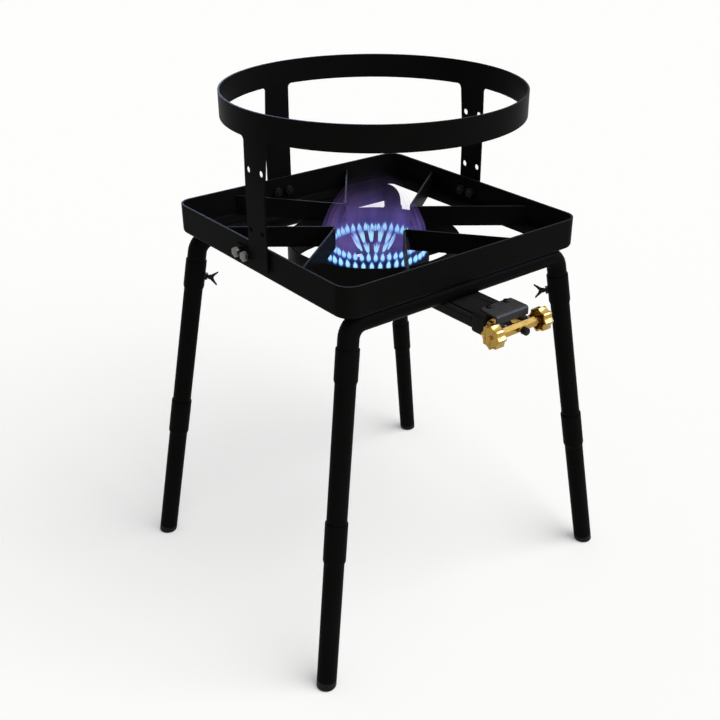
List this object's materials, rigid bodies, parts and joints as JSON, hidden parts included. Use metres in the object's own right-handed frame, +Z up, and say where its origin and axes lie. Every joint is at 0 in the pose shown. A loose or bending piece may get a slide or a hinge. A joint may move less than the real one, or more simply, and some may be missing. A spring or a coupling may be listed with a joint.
{
  "type": "stock pot range",
  "caption": "Free-standing outdoor gas burner stand for stock pots: square frame with V grate bars, splayed two-section legs, round pot guard and a brass valve bar.",
  "frame": {"origin": "on the floor, under the middle of the burner", "axes": "+Z up; -Y towards the valves (front); +X to the right seen from the front"},
  "size_m": [0.5598, 0.5523, 0.7507],
  "materials": {
    "black_coat": "satin black powder coat on steel",
    "black_plate": "satin dark grey coat on sheet steel",
    "cast_iron": "rough cast, black stove paint",
    "brass": "turned and polished",
    "zinc_steel": "zinc plated",
    "black_fastener": "black oxide",
    "black_plastic": "moulded, matt"
  },
  "bodies": {
    "stand": {"frame_band": "black_coat", "grate_bar_front": "black_coat", "grate_bar_rear": "black_coat", "grate_bar_left": "black_coat", "grate_bar_right": "black_coat", "wind_shield": "black_coat", "front_leg_tube": "black_coat", "rear_leg_tube": "black_coat", "burner_cross_bar": "black_coat", "burner_bolts": "black_fastener", "burner_casting": "cast_iron", "inner_burner": "cast_iron", "pot_guard": "black_coat", "guard_pads": "black_coat", "guard_spacers": "black_fastener", "guard_bolts": "zinc_steel", "guard_nuts": "black_fastener", "manifold_bar": "brass", "valve_cover_plate": "black_plate", "cover_screws": "black_fastener", "bar_screws": "zinc_steel", "gland_nuts": "brass", "inlet_fitting": "brass", "left_nozzle": "brass", "right_nozzle": "brass"},
    "cap": {"inlet_cap": "black_plastic"},
    "left_shutter": {"left_air_shutter": "brass"},
    "left_valve": {"left_valve_stem": "brass", "left_knob": "brass"},
    "right_shutter": {"right_air_shutter": "brass"},
    "right_valve": {"right_valve_stem": "brass", "right_knob": "brass"},
    "front_left_upper_leg": {"front_left_upper_leg": "black_coat", "front_left_socket_nut": "black_fastener"},
    "front_left_lower_leg": {"front_left_lower_leg": "black_coat", "front_left_foot_plug": "black_plastic"},
    "front_left_wing_screw": {"front_left_wing_screw": "black_fastener"},
    "front_right_upper_leg": {"front_right_upper_leg": "black_coat", "front_right_socket_nut": "black_fastener"},
    "front_right_lower_leg": {"front_right_lower_leg": "black_coat", "front_right_foot_plug": "black_plastic"},
    "front_right_wing_screw": {"front_right_wing_screw": "black_fastener"},
    "rear_left_upper_leg": {"rear_left_upper_leg": "black_coat", "rear_left_socket_nut": "black_fastener"},
    "rear_left_lower_leg": {"rear_left_lower_leg": "black_coat", "rear_left_foot_plug": "black_plastic"},
    "rear_left_wing_screw": {"rear_left_wing_screw": "black_fastener"},
    "rear_right_upper_leg": {"rear_right_upper_leg": "black_coat", "rear_right_socket_nut": "black_fastener"},
    "rear_right_lower_leg": {"rear_right_lower_leg": "black_coat", "rear_right_foot_plug": "black_plastic"},
    "rear_right_wing_screw": {"rear_right_wing_screw": "black_fastener"}
  },
  "joints": [
    {"name": "left_valve_turn", "type": "hinge", "parent": "stand", "child": "left_valve", "pos_m": [-0.049, -0.293, 0.49775], "axis": [-1, 0, 0], "range_deg": [-300, 420]},
    {"name": "right_valve_turn", "type": "hinge", "parent": "stand", "child": "right_valve", "pos_m": [0.049, -0.293, 0.49775], "axis": [1, 0, 0], "range_deg": [-300, 420]},
    {"name": "left_shutter_turn", "type": "hinge", "parent": "stand", "child": "left_shutter", "pos_m": [-0.022, -0.2665, 0.49775], "axis": [0, -1, 0], "range_deg": [-350, 350]},
    {"name": "right_shutter_turn", "type": "hinge", "parent": "stand", "child": "right_shutter", "pos_m": [0.022, -0.2665, 0.49775], "axis": [0, -1, 0], "range_deg": [-350, 350]},
    {"name": "cap_pull", "type": "slide", "parent": "stand", "child": "cap", "axis": [0, -1, 0], "range_m": [0, 0.02]},
    {"name": "front_left_upper_leg_slide", "type": "slide", "parent": "stand", "child": "front_left_upper_leg", "axis": [-0.1549, -0.0834, -0.9844], "range_m": [0, 0.05]},
    {"name": "front_left_lower_leg_slide", "type": "slide", "parent": "front_left_upper_leg", "child": "front_left_lower_leg", "axis": [-0.1549, -0.0834, -0.9844], "range_m": [0, 0.06]},
    {"name": "front_left_wing_screw_turn", "type": "hinge", "parent": "front_left_upper_leg", "child": "front_left_wing_screw", "pos_m": [-0.18016, -0.17569, 0.45985], "axis": [0.6909, 0.7031, -0.1683], "range_deg": [0, 630]},
    {"name": "front_right_upper_leg_slide", "type": "slide", "parent": "stand", "child": "front_right_upper_leg", "axis": [0.1549, -0.0834, -0.9844], "range_m": [0, 0.05]},
    {"name": "front_right_lower_leg_slide", "type": "slide", "parent": "front_right_upper_leg", "child": "front_right_lower_leg", "axis": [0.1549, -0.0834, -0.9844], "range_m": [0, 0.06]},
    {"name": "front_right_wing_screw_turn", "type": "hinge", "parent": "front_right_upper_leg", "child": "front_right_wing_screw", "pos_m": [0.18016, -0.17569, 0.45985], "axis": [-0.6909, 0.7031, -0.1683], "range_deg": [0, 630]},
    {"name": "rear_left_upper_leg_slide", "type": "slide", "parent": "stand", "child": "rear_left_upper_leg", "axis": [-0.1549, 0.0834, -0.9844], "range_m": [0, 0.05]},
    {"name": "rear_left_lower_leg_slide", "type": "slide", "parent": "rear_left_upper_leg", "child": "rear_left_lower_leg", "axis": [-0.1549, 0.0834, -0.9844], "range_m": [0, 0.06]},
    {"name": "rear_left_wing_screw_turn", "type": "hinge", "parent": "rear_left_upper_leg", "child": "rear_left_wing_screw", "pos_m": [-0.18016, 0.17569, 0.45985], "axis": [0.6909, -0.7031, -0.1683], "range_deg": [0, 630]},
    {"name": "rear_right_upper_leg_slide", "type": "slide", "parent": "stand", "child": "rear_right_upper_leg", "axis": [0.1549, 0.0834, -0.9844], "range_m": [0, 0.05]},
    {"name": "rear_right_lower_leg_slide", "type": "slide", "parent": "rear_right_upper_leg", "child": "rear_right_lower_leg", "axis": [0.1549, 0.0834, -0.9844], "range_m": [0, 0.06]},
    {"name": "rear_right_wing_screw_turn", "type": "hinge", "parent": "rear_right_upper_leg", "child": "rear_right_wing_screw", "pos_m": [0.18016, 0.17569, 0.45985], "axis": [-0.6909, -0.7031, -0.1683], "range_deg": [0, 630]}
  ]
}
